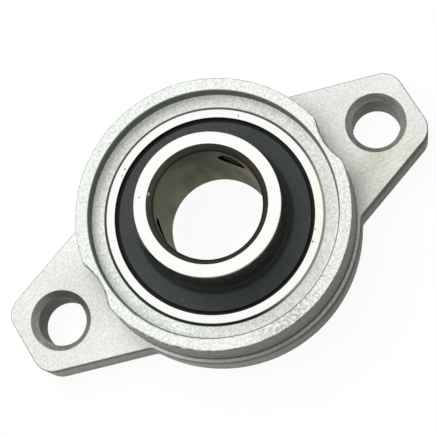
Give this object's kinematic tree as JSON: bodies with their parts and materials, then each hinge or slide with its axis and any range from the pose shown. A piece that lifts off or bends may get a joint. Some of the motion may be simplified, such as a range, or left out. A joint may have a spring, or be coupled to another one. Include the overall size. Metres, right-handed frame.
{
  "type": "flanged bearing unit",
  "caption": "Flanged bearing unit: cast housing with bolt lugs and a spherical seat, holding a sealed self-aligning ball bearing whose long inner ring takes set screws.",
  "frame": {"origin": "on the bearing axis, in the plane of the mounting face", "axes": "+Z along the bearing axis from the mounting face to the front, +X along the line of the bolt holes"},
  "size_m": [0.0654, 0.0406, 0.0185],
  "materials": {
    "zinc_casting": "sand-blasted zinc alloy die casting",
    "bearing_steel": "ground bright",
    "ball_steel": "polished",
    "cage_steel": "pressed sheet",
    "seal_rubber": "moulded, matt",
    "screw_steel": "black oxide"
  },
  "bodies": {
    "housing": {"housing": "zinc_casting"},
    "insert": {"outer_ring": "bearing_steel", "seal_front": "seal_rubber", "seal_rear": "seal_rubber"},
    "inner": {"inner_ring": "bearing_steel"},
    "cage": {"cage_front": "cage_steel", "cage_rear": "cage_steel", "cage_rivets": "cage_steel"},
    "ball_1": {"ball_1": "ball_steel"},
    "ball_2": {"ball_2": "ball_steel"},
    "ball_3": {"ball_3": "ball_steel"},
    "ball_4": {"ball_4": "ball_steel"},
    "ball_5": {"ball_5": "ball_steel"},
    "ball_6": {"ball_6": "ball_steel"},
    "ball_7": {"ball_7": "ball_steel"},
    "ball_8": {"ball_8": "ball_steel"},
    "ball_9": {"ball_9": "ball_steel"},
    "set_screw_1": {"set_screw_1": "screw_steel"},
    "set_screw_2": {"set_screw_2": "screw_steel"}
  },
  "joints": [
    {"name": "insert_tilt", "type": "hinge", "parent": "housing", "child": "insert", "pos_m": [0, 0, 0.0065], "axis": [1, 0, 0], "range_deg": [-5, 5]},
    {"name": "inner_spin", "type": "hinge", "parent": "insert", "child": "inner", "pos_m": [0, 0, 0.0065], "axis": [0, 0, 1], "continuous": true},
    {"name": "cage_spin", "type": "hinge", "parent": "insert", "child": "cage", "pos_m": [0, 0, 0.0065], "axis": [0, 0, 1], "continuous": true},
    {"name": "ball_1_spin", "type": "hinge", "parent": "cage", "child": "ball_1", "pos_m": [0.01175, 0, 0.0065], "axis": [0, 0, 1], "continuous": true},
    {"name": "ball_2_spin", "type": "hinge", "parent": "cage", "child": "ball_2", "pos_m": [0.009, 0.00755, 0.0065], "axis": [0, 0, 1], "continuous": true},
    {"name": "ball_3_spin", "type": "hinge", "parent": "cage", "child": "ball_3", "pos_m": [0.00204, 0.01157, 0.0065], "axis": [0, 0, 1], "continuous": true},
    {"name": "ball_4_spin", "type": "hinge", "parent": "cage", "child": "ball_4", "pos_m": [-0.00588, 0.01018, 0.0065], "axis": [0, 0, 1], "continuous": true},
    {"name": "ball_5_spin", "type": "hinge", "parent": "cage", "child": "ball_5", "pos_m": [-0.01104, 0.00402, 0.0065], "axis": [0, 0, 1], "continuous": true},
    {"name": "ball_6_spin", "type": "hinge", "parent": "cage", "child": "ball_6", "pos_m": [-0.01104, -0.00402, 0.0065], "axis": [0, 0, 1], "continuous": true},
    {"name": "ball_7_spin", "type": "hinge", "parent": "cage", "child": "ball_7", "pos_m": [-0.00588, -0.01018, 0.0065], "axis": [0, 0, 1], "continuous": true},
    {"name": "ball_8_spin", "type": "hinge", "parent": "cage", "child": "ball_8", "pos_m": [0.00204, -0.01157, 0.0065], "axis": [0, 0, 1], "continuous": true},
    {"name": "ball_9_spin", "type": "hinge", "parent": "cage", "child": "ball_9", "pos_m": [0.009, -0.00755, 0.0065], "axis": [0, 0, 1], "continuous": true},
    {"name": "set_screw_1_travel", "type": "slide", "parent": "inner", "child": "set_screw_1", "axis": [-0.809, -0.5878, 0], "range_m": [0, 0.0018]},
    {"name": "set_screw_2_travel", "type": "slide", "parent": "inner", "child": "set_screw_2", "axis": [0.9877, -0.1564, 0], "range_m": [0, 0.0018]}
  ],
  "couplings": [
    {"joint": "cage_spin", "follows": "inner_spin", "ratio": 0.39868},
    {"joint": "ball_1_spin", "follows": "inner_spin", "ratio": -2.3661},
    {"joint": "ball_2_spin", "follows": "inner_spin", "ratio": -2.3661},
    {"joint": "ball_3_spin", "follows": "inner_spin", "ratio": -2.3661},
    {"joint": "ball_4_spin", "follows": "inner_spin", "ratio": -2.3661},
    {"joint": "ball_5_spin", "follows": "inner_spin", "ratio": -2.3661},
    {"joint": "ball_6_spin", "follows": "inner_spin", "ratio": -2.3661},
    {"joint": "ball_7_spin", "follows": "inner_spin", "ratio": -2.3661},
    {"joint": "ball_8_spin", "follows": "inner_spin", "ratio": -2.3661},
    {"joint": "ball_9_spin", "follows": "inner_spin", "ratio": -2.3661}
  ]
}
